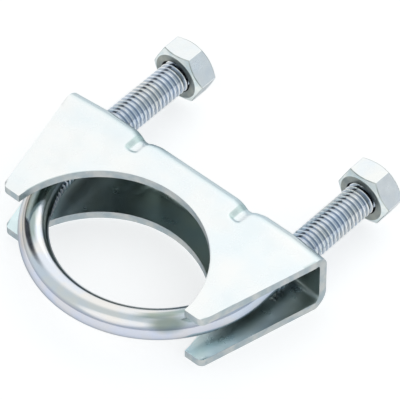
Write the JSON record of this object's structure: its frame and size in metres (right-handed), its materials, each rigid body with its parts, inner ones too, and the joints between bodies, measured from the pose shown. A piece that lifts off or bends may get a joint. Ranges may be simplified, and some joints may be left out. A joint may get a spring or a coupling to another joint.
{
  "type": "exhaust clamp",
  "caption": "U-bolt exhaust clamp: a threaded U-bolt with hexagon nuts in a pressed channel saddle that grips a round pipe.",
  "frame": {"origin": "under the middle of the clamp, on the surface that its lower flange lies on", "axes": "+Z along the axis of the gripped pipe, +X from the left leg to the right leg, +Y along the legs from the bow to the nuts"},
  "size_m": [0.0746, 0.0754, 0.016],
  "materials": {
    "saddle_zinc": "bright zinc plating on pressed sheet",
    "rod_zinc": "bright zinc plating on drawn rod",
    "nut_zinc": "bright zinc plating"
  },
  "bodies": {
    "saddle": {"saddle": "saddle_zinc"},
    "u_bolt": {"u_bolt": "rod_zinc"},
    "nut_left": {"nut_left": "nut_zinc"},
    "nut_right": {"nut_right": "nut_zinc"}
  },
  "joints": [
    {"name": "u_bolt_slide", "type": "slide", "parent": "saddle", "child": "u_bolt", "axis": [0, 1, 0], "range_m": [-0.02, 0.012]},
    {"name": "nut_left_travel", "type": "slide", "parent": "u_bolt", "child": "nut_left", "axis": [0, 1, 0], "range_m": [-0.0015, 0.006]},
    {"name": "nut_right_travel", "type": "slide", "parent": "u_bolt", "child": "nut_right", "axis": [0, 1, 0], "range_m": [-0.0015, 0.006]}
  ]
}
